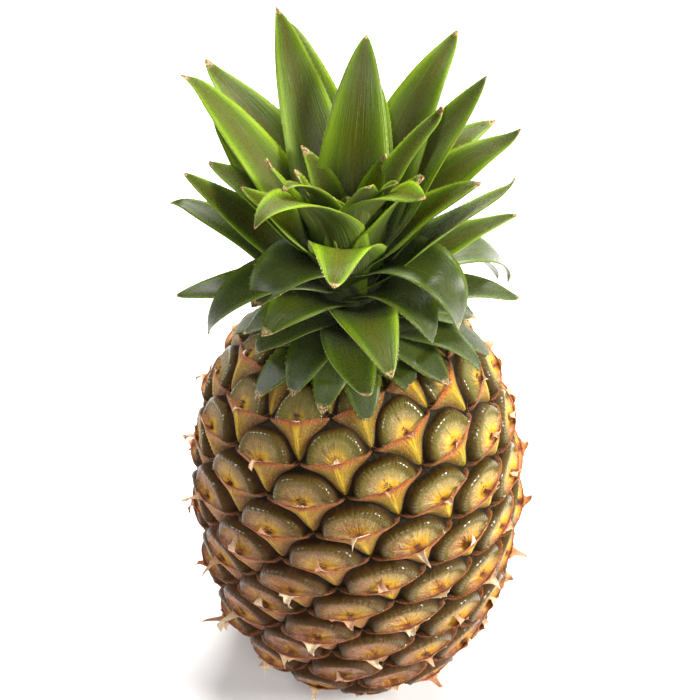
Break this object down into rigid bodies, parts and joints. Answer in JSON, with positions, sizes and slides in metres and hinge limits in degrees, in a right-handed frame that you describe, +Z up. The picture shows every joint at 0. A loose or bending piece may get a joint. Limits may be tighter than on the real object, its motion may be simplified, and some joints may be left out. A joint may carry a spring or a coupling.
{
  "type": "pineapple",
  "caption": "Whole ripe pineapple standing on its cut base: barrel-shaped fruit with a spiral of thorned eyes and a crown of channelled pointed leaves.",
  "frame": {"origin": "centre of the stalk's cut face, level with the flat spot that the fruit stands on", "axes": "+Z up along the fruit's axis to the crown, -Y toward the front as pictured, +X to its right"},
  "size_m": [0.1341, 0.1455, 0.2677],
  "materials": {
    "rind": "waxy rind, olive-green domes, yellow keels and reddish-brown dry bract edges",
    "leaf": "waxy green leaf, grey-green below, with dry tan tips",
    "cut_stalk": "dry fibrous cut"
  },
  "bodies": {
    "root": {"fruit": "rind", "crown": "leaf", "stalk": "cut_stalk"}
  },
  "joints": []
}
